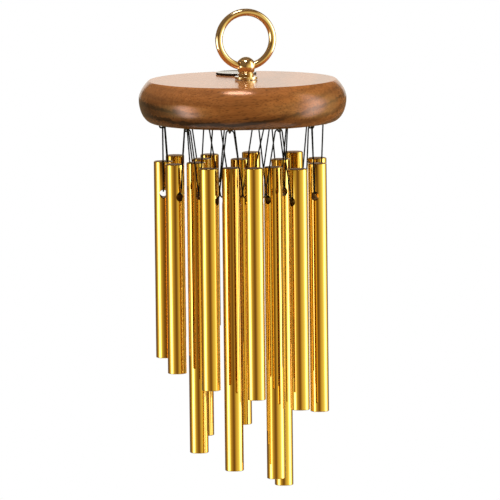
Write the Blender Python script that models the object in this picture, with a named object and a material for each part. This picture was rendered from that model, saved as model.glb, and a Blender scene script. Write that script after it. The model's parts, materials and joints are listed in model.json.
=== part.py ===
"""Hand chime: a turned wood disc that hangs from a finger ring and carries two rings of metal bars on cords.

Units are metres, +Z is up and -Y is the front. The origin is the inside top of the ring, where a hand or a
hook holds it. Each bar hangs on a V of cord that runs through a cross hole near its top, and a wire staple
holds the cord to the underside of the disc midway between each two neighbouring bars.
"""

import math

import bmesh
import bpy
from mathutils import Matrix, Vector

# Clearances
SEAT_GAP = 0.0003
MERGE_DISTANCE = 1e-6

# Ring: it stands turned a little from the front, and so does the bore that it runs through
RING_MEAN_RADIUS = 0.0139
RING_WIRE_RADIUS = 0.00188
RING_TURN = math.radians(12.0)

# Ball post, its flange and its stud: the ring runs through the ball's bore
BALL_BORE_CLEARANCE = 0.00082
BALL_BORE_RADIUS = RING_WIRE_RADIUS + BALL_BORE_CLEARANCE
BALL_WALL = 0.0022
BALL_RADIUS = BALL_BORE_RADIUS + BALL_WALL
NECK_RADIUS = 0.0036
NECK_LENGTH = 0.0014
COLLAR_RADIUS = 0.0045
COLLAR_TOP = 0.0020
FLANGE_RADIUS = 0.0060
FLANGE_TOP = 0.0011
BALL_HEIGHT = COLLAR_TOP + NECK_LENGTH + math.sqrt(BALL_RADIUS**2 - NECK_RADIUS**2)
STUD_RADIUS = 0.0025
STUD_HOLE_CLEARANCE = 0.0004
STUD_PAST_NUT = 0.0006

# Nut and washer in their recess under the disc
WASHER_RADIUS = 0.0060
WASHER_THICKNESS = 0.0010
NUT_ACROSS_FLATS = 0.0080
NUT_HEIGHT = 0.0040
NUT_INSET = 0.0014
RECESS_CLEARANCE = 0.0010
RECESS_RADIUS = WASHER_RADIUS + RECESS_CLEARANCE
RECESS_DEPTH = SEAT_GAP + WASHER_THICKNESS + SEAT_GAP + NUT_HEIGHT + NUT_INSET

# Wood disc: its rim swells from the flat top to the belly and rolls under to the flat bottom
DISC_BELLY_RADIUS = 0.0529
DISC_TOP_INSET = 0.0051
DISC_TOP_RADIUS = DISC_BELLY_RADIUS - DISC_TOP_INSET
DISC_BOTTOM_INSET = 0.0073
DISC_BOTTOM_RADIUS = DISC_BELLY_RADIUS - DISC_BOTTOM_INSET
DISC_THICKNESS = 0.0214
DISC_BELLY_SHARE = 0.4533
DISC_BELLY_DEPTH = DISC_BELLY_SHARE * DISC_THICKNESS
DISC_OFFSET_X = -0.0019

# Plain badge on the top, behind the post
BADGE_RADIUS = 0.0104
BADGE_THICKNESS = 0.0009
BADGE_EDGE = 0.0002
BADGE_OFFSET_X = -0.0032
BADGE_FROM_EDGE = 0.0074
BADGE_FROM_CENTRE = Vector((BADGE_OFFSET_X, DISC_TOP_RADIUS - BADGE_FROM_EDGE - BADGE_RADIUS))

# Bars, from the shortest to the longest
BAR_RADIUS = 0.00476
BAR_CHAMFER = 0.0004
BAR_HOLE_RADIUS = 0.00205
BAR_HOLE_BELOW_TOP = 0.0164
BAR_TOP_BELOW_DISC = 0.0202
SHORTEST_BAR = 0.0800
LONGEST_BAR = 0.1682
OUTER_LENGTH_SHARES = (0.0, 0.052, 0.101, 0.161, 0.237, 0.305, 0.374, 0.429, 0.486, 0.534, 0.571)
INNER_LENGTH_SHARES = (0.65, 0.713, 0.782, 0.849, 0.904, 1.0)
LENGTH_SHARES = OUTER_LENGTH_SHARES + INNER_LENGTH_SHARES

# How much lower or higher than the mean each bar hangs, because the cords are tied by hand
OUTER_SAGS = (-0.0014, -0.0004, 0.0002, -0.0012, -0.0004, -0.0009, -0.0001, -0.0004, 0.0014, 0.0003, 0.0)
INNER_SAGS = (0.0013, 0.0, -0.0004, 0.0011, 0.0017, 0.0)
SAGS = OUTER_SAGS + INNER_SAGS

# The two rings of bars: radius, angle of the first bar, offset of the ring's centre, and how many degrees each bar
# stands past its even place, because the staples are set by hand
OUTER_FROM_EDGE = 0.0054
OUTER_RADIUS = DISC_BOTTOM_RADIUS - OUTER_FROM_EDGE
OUTER_START = math.radians(49.5)
OUTER_OFFSET_X = -0.0007
OUTER_TURNS = (-1.0, 1.0, -0.5, 1.0, 0.0, -1.0, -0.5, 0.0, 3.5, -2.0, 0.0)
RING_SPACING = 0.0170
INNER_RADIUS = OUTER_RADIUS - RING_SPACING
INNER_START = math.radians(82.5)
INNER_OFFSET_X = -0.0028
INNER_TURNS = (5.0, 0.5, 0.5, -1.0, -2.0, -3.0)

# Cords and staples
CORD_RADIUS = 0.00036
CORD_RUN = 0.0019
CORD_END_GAP = 0.00045
CORD_TOP_BEND = 0.0009
CORD_FOOT_BEND = 0.00065
STAPLE_RADIUS = 0.00055
STAPLE_HALF_SPAN = 0.0015
STAPLE_LEG_IN_WOOD = 0.0080
STAPLE_BEND = 0.0009

# Facets
DISC_SIDES = 64
RIM_STEPS = 6
BAR_SIDES = 24
HOLE_SIDES = 16
SMALL_HOLE_SIDES = 8
RING_SIDES = 40
WIRE_SIDES = 10
BALL_STEPS = 9
POST_SIDES = 32
BEND_STEPS = 3
SMOOTH_ANGLE = math.radians(40)

# Heights that follow from the sizes above
RING_CENTRE_Z = RING_WIRE_RADIUS - RING_MEAN_RADIUS
BORE_HALF_LENGTH = math.sqrt(BALL_RADIUS**2 - BALL_BORE_RADIUS**2)
WIRE_SLOPE = math.asin(BORE_HALF_LENGTH / RING_MEAN_RADIUS)
WIRE_TOP_AT_MOUTH = RING_WIRE_RADIUS / math.cos(WIRE_SLOPE) - RING_MEAN_RADIUS * math.cos(WIRE_SLOPE)
BORE_Z = RING_CENTRE_Z + WIRE_TOP_AT_MOUTH + SEAT_GAP - BALL_BORE_RADIUS
DISC_TOP_Z = BORE_Z - BALL_HEIGHT
DISC_BOTTOM_Z = DISC_TOP_Z - DISC_THICKNESS
CORD_AXIS_Z = DISC_BOTTOM_Z - CORD_RADIUS - SEAT_GAP
CORD_RISE_IN_HOLE = BAR_HOLE_RADIUS - CORD_RADIUS - SEAT_GAP
BAR_TOP_ABOVE_CORD = BAR_HOLE_BELOW_TOP - CORD_RISE_IN_HOLE
CORD_DROP = CORD_AXIS_Z - (DISC_BOTTOM_Z - BAR_TOP_BELOW_DISC - BAR_TOP_ABOVE_CORD)
CORD_FOOT = BAR_RADIUS + CORD_RADIUS + SEAT_GAP


def clear_scene():
    """Removes what the scene holds."""
    for old in list(bpy.data.objects):
        bpy.data.objects.remove(old)


def material(name, colour, roughness, metallic):
    """A plain Principled material."""
    look = bpy.data.materials.new(name)
    look.use_nodes = True
    shader = look.node_tree.nodes["Principled BSDF"]
    shader.inputs["Base Color"].default_value = (*colour, 1.0)
    shader.inputs["Roughness"].default_value = roughness
    shader.inputs["Metallic"].default_value = metallic
    return look


def place(name, data, look, parent, location=(0, 0, 0), turn=0.0):
    """A named object with its material, at a place under its parent, turned about Z."""
    obj = bpy.data.objects.new(name, data)
    bpy.context.scene.collection.objects.link(obj)
    data.materials.append(look)
    obj.parent = parent
    obj.location = location
    obj.rotation_euler.z = turn
    return obj


def empty(name, parent=None, location=(0, 0, 0)):
    """An empty that other objects hang from."""
    obj = bpy.data.objects.new(name, None)
    bpy.context.scene.collection.objects.link(obj)
    obj.parent = parent
    obj.location = location
    return obj


def finished(bm, name):
    """The mesh of a bmesh, with its faces pointing out and its round faces shaded smooth."""
    bmesh.ops.remove_doubles(bm, verts=bm.verts, dist=MERGE_DISTANCE)
    bmesh.ops.recalc_face_normals(bm, faces=bm.faces)
    mesh = bpy.data.meshes.new(name)
    bm.to_mesh(mesh)
    bm.free()
    mesh.shade_smooth()
    mesh.set_sharp_from_angle(angle=SMOOTH_ANGLE)
    return mesh


def turned(name, profile, sides, closed=False):
    """A solid turned about Z from (radius, height) points. A closed profile has a bore, an open one is capped."""
    bm = bmesh.new()
    verts = [bm.verts.new((radius, 0, height)) for radius, height in profile]
    pairs = list(zip(verts, verts[1:]))
    if closed:
        pairs.append((verts[-1], verts[0]))
    edges = [bm.edges.new(pair) for pair in pairs]
    bmesh.ops.spin(
        bm, geom=verts + edges, cent=(0, 0, 0), axis=(0, 0, 1), angle=math.tau, steps=sides, use_merge=True
    )
    bmesh.ops.remove_doubles(bm, verts=bm.verts, dist=MERGE_DISTANCE)
    bmesh.ops.holes_fill(bm, edges=[edge for edge in bm.edges if edge.is_boundary])
    return finished(bm, name)


def rods(name, radius, low, high, sides, spots=((0, 0),), lie=None):
    """Upright rods at each (x, y) spot, from one height to another, or one rod that a matrix lays over."""
    bm = bmesh.new()
    for x, y in spots:
        stand = Matrix.Translation((x, y, (low + high) / 2))
        bmesh.ops.create_cone(
            bm,
            cap_ends=True,
            segments=sides,
            radius1=radius,
            radius2=radius,
            depth=high - low,
            matrix=lie @ stand if lie else stand,
        )
    return finished(bm, name)


def cut(mesh, cutter_mesh):
    """What is left of one mesh when another is cut from it, with both about the same origin."""
    body = bpy.data.objects.new(mesh.name, mesh)
    cutter = bpy.data.objects.new(cutter_mesh.name, cutter_mesh)
    for obj in (body, cutter):
        bpy.context.scene.collection.objects.link(obj)
    hole = body.modifiers.new("hole", "BOOLEAN")
    hole.operation = "DIFFERENCE"
    hole.object = cutter
    graph = bpy.context.evaluated_depsgraph_get()
    result = bpy.data.meshes.new_from_object(body.evaluated_get(graph))
    for obj in (body, cutter):
        bpy.data.objects.remove(obj)
    result.shade_smooth()
    result.set_sharp_from_angle(angle=SMOOTH_ANGLE)
    return result


def rounded_route(corners, bends):
    """Points along straight runs between corners, each inner corner rounded over its bend length."""
    points = [corners[0]]
    for before, corner, after, bend in zip(corners, corners[1:], corners[2:], bends):
        start = corner + (before - corner).normalized() * bend
        end = corner + (after - corner).normalized() * bend
        for step in range(BEND_STEPS + 1):
            t = step / BEND_STEPS
            points.append((1 - t) ** 2 * start + 2 * t * (1 - t) * corner + t**2 * end)
    points.append(corners[-1])
    return points


def tube(name, points, radius, resolution):
    """A round tube along points, with closed ends."""
    curve = bpy.data.curves.new(name, "CURVE")
    curve.dimensions = "3D"
    curve.bevel_depth = radius
    curve.bevel_resolution = resolution
    curve.use_fill_caps = True
    spline = curve.splines.new("POLY")
    spline.points.add(len(points) - 1)
    for spot, point in zip(spline.points, points):
        spot.co = (*point, 1.0)
    return curve


def ring_mesh():
    """The round wire ring, upright in the XZ plane."""
    bm = bmesh.new()
    lie = Matrix.Translation((RING_MEAN_RADIUS, 0, 0))
    wire = bmesh.ops.create_circle(bm, segments=WIRE_SIDES, radius=RING_WIRE_RADIUS, matrix=lie)
    edges = list({edge for vert in wire["verts"] for edge in vert.link_edges})
    bmesh.ops.spin(
        bm,
        geom=wire["verts"] + edges,
        cent=(0, 0, 0),
        axis=(0, 1, 0),
        angle=math.tau,
        steps=RING_SIDES,
        use_merge=True,
    )
    return finished(bm, "hanging_ring")


def disc_profile():
    """The disc's outline from the edge of the flat top to that of the flat bottom, heights from the top."""
    profile = []
    for step in range(RIM_STEPS + 1):
        t = step / RIM_STEPS
        swell = (DISC_BELLY_RADIUS - DISC_TOP_RADIUS) * (1 - t) ** 2
        profile.append((DISC_BELLY_RADIUS - swell, -DISC_BELLY_DEPTH * t))
    for step in range(1, RIM_STEPS + 1):
        angle = math.pi / 2 * step / RIM_STEPS
        radius = DISC_BOTTOM_RADIUS + (DISC_BELLY_RADIUS - DISC_BOTTOM_RADIUS) * math.cos(angle)
        height = -DISC_BELLY_DEPTH - (DISC_THICKNESS - DISC_BELLY_DEPTH) * math.sin(angle)
        profile.append((radius, height))
    return profile


def disc_mesh(staple_spots):
    """The disc about its own axis, with the stud's hole, the nut's recess and the staples' holes."""
    stud_hole = STUD_RADIUS + STUD_HOLE_CLEARANCE
    floor = RECESS_DEPTH - DISC_THICKNESS
    past = SEAT_GAP
    bore = turned(
        "stud_bore",
        [
            (stud_hole, past),
            (stud_hole, floor),
            (RECESS_RADIUS, floor),
            (RECESS_RADIUS, -DISC_THICKNESS - past),
        ],
        POST_SIDES,
    )
    bore.transform(Matrix.Translation((-DISC_OFFSET_X, 0, 0)))
    holes = rods(
        "staple_holes",
        STAPLE_RADIUS + SEAT_GAP,
        -DISC_THICKNESS - past,
        STAPLE_LEG_IN_WOOD + SEAT_GAP - DISC_THICKNESS,
        SMALL_HOLE_SIDES,
        staple_spots,
    )
    return cut(cut(turned("wood_disc", disc_profile(), DISC_SIDES), bore), holes)


def post_mesh():
    """The ball, neck, collar, flange and stud in one turned piece, heights from the ball's bore."""
    wood = -BALL_HEIGHT
    neck_angle = math.pi - math.asin(NECK_RADIUS / BALL_RADIUS)
    profile = []
    for step in range(BALL_STEPS + 1):
        angle = neck_angle * step / BALL_STEPS
        profile.append((BALL_RADIUS * math.sin(angle), BALL_RADIUS * math.cos(angle)))
    stud_end = wood - DISC_THICKNESS + NUT_INSET - STUD_PAST_NUT
    profile += [
        (NECK_RADIUS, wood + COLLAR_TOP),
        (COLLAR_RADIUS, wood + COLLAR_TOP),
        (COLLAR_RADIUS, wood + FLANGE_TOP),
        (FLANGE_RADIUS, wood + FLANGE_TOP),
        (FLANGE_RADIUS, wood + SEAT_GAP),
        (STUD_RADIUS, wood + SEAT_GAP),
        (STUD_RADIUS, stud_end),
    ]
    bore = rods(
        "ball_bore",
        BALL_BORE_RADIUS,
        -2 * BALL_RADIUS,
        2 * BALL_RADIUS,
        POST_SIDES,
        lie=Matrix.Rotation(RING_TURN, 4, "Z") @ Matrix.Rotation(math.pi / 2, 4, "Y"),
    )
    return cut(turned("ring_post", profile, POST_SIDES), bore)


def washer_mesh(top):
    """The flat washer under the recess floor."""
    hole = STUD_RADIUS + SEAT_GAP
    low = top - WASHER_THICKNESS
    profile = [(hole, top), (WASHER_RADIUS, top), (WASHER_RADIUS, low), (hole, low)]
    return turned("post_washer", profile, POST_SIDES, closed=True)


def nut_mesh(top):
    """The hexagon nut under the washer."""
    corner_radius = NUT_ACROSS_FLATS / math.sqrt(3)
    low = top - NUT_HEIGHT
    body = rods("post_nut", corner_radius, low, top, 6)
    bore = rods("nut_bore", STUD_RADIUS + SEAT_GAP, low - SEAT_GAP, top + SEAT_GAP, POST_SIDES)
    return cut(body, bore)


def badge_mesh():
    """The plain round badge, with its edges eased."""
    profile = [
        (BADGE_RADIUS - BADGE_EDGE, BADGE_THICKNESS),
        (BADGE_RADIUS, BADGE_THICKNESS - BADGE_EDGE),
        (BADGE_RADIUS, 0),
    ]
    return turned("badge", profile, POST_SIDES)


def bar_length(number):
    """The length of a bar, counted from 1: its share of the way from the shortest to the longest."""
    return SHORTEST_BAR + (LONGEST_BAR - SHORTEST_BAR) * LENGTH_SHARES[number - 1]


def bar_mesh(name, length):
    """A solid round bar, upright, about the cord line in its cross hole."""
    top = BAR_TOP_ABOVE_CORD
    low = top - length
    profile = [
        (BAR_RADIUS - BAR_CHAMFER, top),
        (BAR_RADIUS, top - BAR_CHAMFER),
        (BAR_RADIUS, low + BAR_CHAMFER),
        (BAR_RADIUS - BAR_CHAMFER, low),
    ]
    hole = rods(
        "cross_hole",
        BAR_HOLE_RADIUS,
        -2 * BAR_RADIUS,
        2 * BAR_RADIUS,
        HOLE_SIDES,
        lie=Matrix.Translation((0, 0, -CORD_RISE_IN_HOLE)) @ Matrix.Rotation(math.pi / 2, 4, "Y"),
    )
    return cut(turned(name, profile, BAR_SIDES), hole)


def cord_drop(number):
    """How far a bar, counted from 1, hangs below the cord's swing axis."""
    return CORD_DROP + SAGS[number - 1]


def cord_curve(name, behind, ahead, drop):
    """One bar's cord: along the disc from each anchor, down both legs of a V and through the bar."""
    corners = [
        Vector((behind - CORD_END_GAP, 0, 0)),
        Vector((behind - CORD_RUN, 0, 0)),
        Vector((CORD_FOOT, 0, -drop)),
        Vector((-CORD_FOOT, 0, -drop)),
        Vector((CORD_RUN - ahead, 0, 0)),
        Vector((CORD_END_GAP - ahead, 0, 0)),
    ]
    bends = [CORD_TOP_BEND, CORD_FOOT_BEND, CORD_FOOT_BEND, CORD_TOP_BEND]
    return tube(name, rounded_route(corners, bends), CORD_RADIUS, 2)


def staple_curve(name):
    """A wire staple about its anchor on the cord's line, with its crown along X under the cord."""
    crown = -CORD_RADIUS - SEAT_GAP - STAPLE_RADIUS
    tip = STAPLE_LEG_IN_WOOD + DISC_BOTTOM_Z - CORD_AXIS_Z
    corners = [
        Vector((-STAPLE_HALF_SPAN, 0, tip)),
        Vector((-STAPLE_HALF_SPAN, 0, crown)),
        Vector((STAPLE_HALF_SPAN, 0, crown)),
        Vector((STAPLE_HALF_SPAN, 0, tip)),
    ]
    return tube(name, rounded_route(corners, [STAPLE_BEND, STAPLE_BEND]), STAPLE_RADIUS, 1)


class BarRing:
    """One ring of bars: where each bar hangs, and the staples where the lines of two neighbouring cords meet."""

    def __init__(self, radius, start, turns, centre_x):
        self.radius = radius
        self.centre = Vector((centre_x, 0))
        step = math.tau / len(turns)
        self.angles = [start + index * step + math.radians(turn) for index, turn in enumerate(turns)]

    def half_gap(self, index):
        """Half the angle from a bar to the next one round the ring."""
        following = self.angles[(index + 1) % len(self.angles)]
        return (following - self.angles[index]) % math.tau / 2

    def half_span(self, index):
        """The distance along the cord's line from a bar, or from the next bar, to the staple between them."""
        return self.radius * math.tan(self.half_gap(index))

    def staple_angle(self, index):
        return self.angles[index] + self.half_gap(index)

    def staple_spot(self, index, outwards=0.0):
        """The staple's anchor past a bar, or a point that far outwards from it."""
        radius = self.radius / math.cos(self.half_gap(index)) + outwards
        return self.spot(radius, self.staple_angle(index))

    def spot(self, radius, angle):
        return self.centre + radius * Vector((math.cos(angle), math.sin(angle)))

    def staple_holes(self):
        sides = (-STAPLE_HALF_SPAN, STAPLE_HALF_SPAN)
        return [self.staple_spot(index, side) for index in range(len(self.angles)) for side in sides]


def hang_bars(ring, first, disc, gold, black, wire):
    """A ring's cords, bars and staples: each cord swings from the disc, and each bar hangs on its cord."""
    axis_z = CORD_AXIS_Z - DISC_TOP_Z
    for index, angle in enumerate(ring.angles):
        number = first + index
        drop = cord_drop(number)
        spot = ring.spot(ring.radius, angle)
        cord_name = f"cord_{number:02d}"
        cord = place(
            cord_name,
            cord_curve(cord_name, ring.half_span(index - 1), ring.half_span(index), drop),
            black,
            disc,
            (spot.x, spot.y, axis_z),
            angle - math.pi / 2,
        )
        bar_name = f"bar_{number:02d}"
        place(bar_name, bar_mesh(bar_name, bar_length(number)), gold, cord, (0, 0, -drop))
        staple_name = f"staple_{number:02d}"
        anchor = ring.staple_spot(index)
        place(
            staple_name,
            staple_curve(staple_name),
            wire,
            disc,
            (anchor.x, anchor.y, axis_z),
            ring.staple_angle(index),
        )


def main():
    clear_scene()
    polished_brass = material("polished_brass", (0.83, 0.58, 0.16), 0.12, 1.0)
    gold_metal = material("gold_anodised", (0.86, 0.56, 0.12), 0.18, 1.0)
    walnut = material("lacquered_walnut", (0.23, 0.095, 0.03), 0.22, 0.0)
    black_cord = material("black_cord", (0.012, 0.011, 0.011), 0.75, 0.0)
    steel = material("steel", (0.42, 0.40, 0.36), 0.35, 1.0)
    blued_wire = material("blued_wire", (0.06, 0.055, 0.045), 0.45, 1.0)
    nickel = material("nickel", (0.72, 0.70, 0.67), 0.22, 1.0)

    chime = empty("chime")
    head_pivot = empty("head_pivot", chime, (0, 0, BORE_Z))
    outer = BarRing(OUTER_RADIUS, OUTER_START, OUTER_TURNS, OUTER_OFFSET_X)
    inner = BarRing(INNER_RADIUS, INNER_START, INNER_TURNS, INNER_OFFSET_X)

    place("hanging_ring", ring_mesh(), polished_brass, chime, (0, 0, RING_CENTRE_Z), RING_TURN)
    place("ring_post", post_mesh(), polished_brass, head_pivot)
    disc = place(
        "wood_disc",
        disc_mesh(outer.staple_holes() + inner.staple_holes()),
        walnut,
        head_pivot,
        (DISC_OFFSET_X, 0, DISC_TOP_Z - BORE_Z),
    )
    washer_top = RECESS_DEPTH - DISC_THICKNESS - SEAT_GAP
    nut_top = washer_top - WASHER_THICKNESS - SEAT_GAP
    place("post_washer", washer_mesh(washer_top), steel, disc, (-DISC_OFFSET_X, 0, 0))
    place("post_nut", nut_mesh(nut_top), steel, disc, (-DISC_OFFSET_X, 0, 0))
    place("badge", badge_mesh(), nickel, disc, (*BADGE_FROM_CENTRE, SEAT_GAP))
    hang_bars(outer, 1, disc, gold_metal, black_cord, blued_wire)
    hang_bars(inner, 1 + len(OUTER_TURNS), disc, gold_metal, black_cord, blued_wire)


main()
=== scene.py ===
# %% [markdown]
# # A hand chime
# A turned wood disc hangs from a finger ring, and seventeen gold coloured bars hang below it on black cord.
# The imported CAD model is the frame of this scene: it says where every piece is and how it moves. Here each
# plain CAD solid gets the piece that is seen, with finer edges and a real finish, in the same place and in
# the same metres.

# %% Load the frame
import json
import math

import bmesh
import bpy
from mathutils import Matrix, Quaternion, Vector


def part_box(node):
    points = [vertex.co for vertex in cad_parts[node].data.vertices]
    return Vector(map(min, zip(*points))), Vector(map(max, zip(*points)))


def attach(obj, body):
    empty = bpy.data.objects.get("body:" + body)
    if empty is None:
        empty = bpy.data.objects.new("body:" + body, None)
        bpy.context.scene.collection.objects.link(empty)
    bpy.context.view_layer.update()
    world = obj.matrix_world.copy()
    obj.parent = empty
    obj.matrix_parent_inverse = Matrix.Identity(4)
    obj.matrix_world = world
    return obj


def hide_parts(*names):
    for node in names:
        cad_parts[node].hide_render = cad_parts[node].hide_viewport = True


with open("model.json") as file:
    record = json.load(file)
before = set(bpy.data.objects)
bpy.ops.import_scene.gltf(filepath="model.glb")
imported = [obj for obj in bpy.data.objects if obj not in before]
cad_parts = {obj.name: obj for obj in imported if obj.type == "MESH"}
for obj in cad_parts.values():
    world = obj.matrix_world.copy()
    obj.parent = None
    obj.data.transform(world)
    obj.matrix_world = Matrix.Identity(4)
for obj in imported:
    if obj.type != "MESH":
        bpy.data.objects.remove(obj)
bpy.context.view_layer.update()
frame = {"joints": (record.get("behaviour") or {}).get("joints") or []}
joints = {joint["name"]: joint for joint in frame["joints"]}


# %% [markdown]
# ## Camera
# The chime was seen from a little above through a long lens, so its bars stand almost parallel in the
# picture. A long lens far away gives that. The camera leans by a fraction of a degree, as the chime hangs a
# little out of true.

# %% Camera
LOOK_AT = Vector((0.0010, 0.0, -0.1199))
CAMERA_DISTANCE = 3.6
CAMERA_RISE = math.radians(6.70)
CAMERA_LEAN = math.radians(-0.65)
LENS_MM = 507.7
SENSOR_MM = 36.0


def linked(name, data):
    """A new object in the scene that shows some data."""
    obj = bpy.data.objects.new(name, data)
    bpy.context.scene.collection.objects.link(obj)
    return obj


camera = linked("camera", bpy.data.cameras.new("camera"))
camera.data.lens = LENS_MM
camera.data.sensor_width = SENSOR_MM
back = Vector((0.0, -math.cos(CAMERA_RISE), math.sin(CAMERA_RISE)))
camera.location = LOOK_AT + CAMERA_DISTANCE * back
camera.rotation_mode = "QUATERNION"
camera.rotation_quaternion = (-back).to_track_quat("-Z", "Y") @ Quaternion((0, 0, 1), CAMERA_LEAN)
bpy.context.scene.camera = camera
print("camera at", [round(value, 3) for value in camera.location])

# %% [markdown]
# ## Helpers for node trees
# Geometry Nodes and shaders are both trees of nodes. These helpers add a node with its settings and its
# inputs in one call, so the trees below read as a list of steps. A Mix node keeps its colour sockets after
# those for numbers and vectors, so they are named here by their places.

# %% Node helpers
VECTOR_MATH = "ShaderNodeVectorMath"
MIX_A = 6
MIX_B = 7
MIX_COLOUR = 2


def fill(tree, node, inputs):
    """Gives a node's inputs values or links."""
    for key, value in inputs.items():
        if isinstance(value, bpy.types.NodeSocket):
            tree.links.new(value, node.inputs[key])
        else:
            node.inputs[key].default_value = value


def add(tree, kind, inputs=None, **settings):
    """Adds a node, sets its properties and fills its inputs."""
    node = tree.nodes.new(kind)
    for name, value in settings.items():
        setattr(node, name, value)
    fill(tree, node, inputs or {})
    return node


def made(tree, kind, inputs=None, **settings):
    """The first output of a node that is added in that way."""
    return add(tree, kind, inputs, **settings).outputs[0]


def maths(tree, operation, a, b=0.0, c=0.0):
    """The result of one sum on numbers or number sockets."""
    return made(tree, "ShaderNodeMath", {0: a, 1: b, 2: c}, operation=operation)


def upright(tree, height):
    """A vector along Z."""
    return made(tree, "ShaderNodeCombineXYZ", {"Z": height})


def sockets(tree, way, kinds):
    """Gives a tree its named inputs or outputs."""
    for label, kind in kinds.items():
        tree.interface.new_socket(label, in_out=way, socket_type="NodeSocket" + kind)


# %% Geometry tree helpers
def geometry_tree(name, *sizes):
    """A Geometry Nodes tree with a geometry input and output, a number for each size, and a material."""
    tree = bpy.data.node_groups.new(name, "GeometryNodeTree")
    sockets(tree, "OUTPUT", {"Geometry": "Geometry"})
    sockets(tree, "INPUT", {"Geometry": "Geometry", **dict.fromkeys(sizes, "Float"), "Material": "Material"})
    return tree, tree.nodes.new("NodeGroupInput").outputs


def end_tree(tree, geometry, material):
    """Ends a tree: real geometry in place of instances, with its material."""
    real = made(tree, "GeometryNodeRealizeInstances", {"Geometry": geometry})
    painted = made(tree, "GeometryNodeSetMaterial", {"Geometry": real, "Material": material})
    add(tree, "NodeGroupOutput", {"Geometry": painted})
    print("tree", tree.name, "has", len(tree.nodes), "nodes")


def grown(name, tree, values, base=None):
    """The plain mesh that a tree makes from a base mesh and its sizes."""
    holder = linked(name, base or bpy.data.meshes.new(name + "_base"))
    modifier = holder.modifiers.new(tree.name, "NODES")
    modifier.node_group = tree
    for item in tree.interface.items_tree:
        if item.in_out == "INPUT" and item.name in values:
            modifier[item.identifier] = values[item.name]
    graph = bpy.context.evaluated_depsgraph_get()
    mesh = bpy.data.meshes.new_from_object(holder.evaluated_get(graph))
    mesh.name = name
    bpy.data.objects.remove(holder)
    return mesh


# %% [markdown]
# ## Helpers for meshes
# Turned pieces are outlines spun round an axis. Polished metal shows every facet, so the pieces have many
# sides, round faces are shaded smooth, and flat faces keep a sharp border so that they stay flat in a
# reflection. Drilling leaves some points almost on top of each other, so those are welded.

# %% Mesh helpers
SMOOTH_ANGLE = math.radians(35)
ON_AXIS = 1e-7
WELD = 1e-6


def crisp(mesh, flat_area):
    """Shades round faces smooth and keeps the borders of large flat faces sharp."""
    mesh.shade_smooth()
    mesh.set_sharp_from_angle(angle=SMOOTH_ANGLE)
    corner_edges = {key: index for index, key in enumerate(mesh.edge_keys)}
    for face in mesh.polygons:
        if face.area > flat_area:
            for key in face.edge_keys:
                mesh.edges[corner_edges[key]].use_edge_sharp = True


def as_mesh(name, bm):
    """A plain mesh from a bmesh, its faces outward."""
    bmesh.ops.recalc_face_normals(bm, faces=bm.faces)
    mesh = bpy.data.meshes.new(name)
    bm.to_mesh(mesh)
    bm.free()
    return mesh


def turned(name, outline, sides):
    """A closed solid turned about Z from (radius, height) points that start and end on the axis."""
    bm = bmesh.new()
    rings = []
    for radius, height in outline:
        if radius < ON_AXIS:
            rings.append([bm.verts.new((0, 0, height))])
            continue
        angles = [math.tau * side / sides for side in range(sides)]
        rings.append([bm.verts.new((radius * math.cos(a), radius * math.sin(a), height)) for a in angles])
    for upper, lower in zip(rings, rings[1:]):
        for side in range(max(len(upper), len(lower))):
            following = side + 1
            corners = [
                upper[side % len(upper)],
                lower[side % len(lower)],
                lower[following % len(lower)],
                upper[following % len(upper)],
            ]
            bm.faces.new(dict.fromkeys(corners))
    return as_mesh(name, bm)


def plug(name, radius, top, bottom, sides):
    """A plain cylinder between two heights."""
    return turned(name, [(0.0, top), (radius, top), (radius, bottom), (0.0, bottom)], sides)


def arc(centre, radius, start, end, steps):
    """Points round an arc in the (radius, height) plane, from one angle in degrees to another."""
    angles = [math.radians(start + (end - start) * step / steps) for step in range(steps + 1)]
    return [(centre[0] + radius * math.cos(a), centre[1] + radius * math.sin(a)) for a in angles]


def drilled(mesh, *cutters):
    """A mesh with the shapes of the cutters taken out of it."""
    body = linked(mesh.name, mesh)
    tools = [linked(cutter.name, cutter) for cutter in cutters]
    for tool in tools:
        hole = body.modifiers.new(tool.name, "BOOLEAN")
        hole.operation = "DIFFERENCE"
        hole.object = tool
    graph = bpy.context.evaluated_depsgraph_get()
    result = bpy.data.meshes.new_from_object(body.evaluated_get(graph))
    for obj in (body, *tools):
        bpy.data.objects.remove(obj)
    bm = bmesh.new()
    bm.from_mesh(result)
    bmesh.ops.remove_doubles(bm, verts=bm.verts, dist=WELD)
    bm.to_mesh(result)
    bm.free()
    return result


def piece(name, mesh, material, body, slot, *nodes):
    """Shows a mesh as a piece of the chime that moves with a body and stands for CAD nodes."""
    obj = linked(name, mesh)
    if material:
        mesh.materials.clear()
        mesh.materials.append(material)
    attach(obj, body)
    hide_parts(*nodes)
    print(name, "has", len(mesh.polygons), "faces")
    return obj


# %% [markdown]
# ## Finishes
# Metal is seen mostly by what it mirrors, so its finish is in small things: hairlines from drawing or
# polishing, and smudges that change the gloss. More than one metal has them, so they are one node group, with
# its own values in each material. The gold and the brass lie under a clear film, as anodised and lacquered
# metal do, and a face cut by the saw has neither the film nor the polish. On the bars such faces also take a
# darker colour, partly painted shade from the disc above, and the badge's side faces take a dark colour the
# same way.

# %% Shader helpers
def new_material(name):
    """A new node material and its Principled shader."""
    look = bpy.data.materials.new(name)
    look.use_nodes = True
    return look, look.node_tree, look.node_tree.nodes["Principled BSDF"]


def mixed(tree, amount, a, b):
    """A colour between two colours or colour sockets."""
    mix = add(tree, "ShaderNodeMix", {"Factor": amount, MIX_A: a, MIX_B: b}, data_type="RGBA")
    return mix.outputs[MIX_COLOUR]


def stretched(tree, place, scale):
    """A place times its own scale along each axis."""
    return made(tree, VECTOR_MATH, {0: place, 1: scale}, operation="MULTIPLY")


def noise(tree, place, detail, rough=0.5, scale=1.0):
    """Soft noise at a place."""
    settings = {"Vector": place, "Scale": scale, "Detail": detail, "Roughness": rough}
    return add(tree, "ShaderNodeTexNoise", settings).outputs["Fac"]


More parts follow.
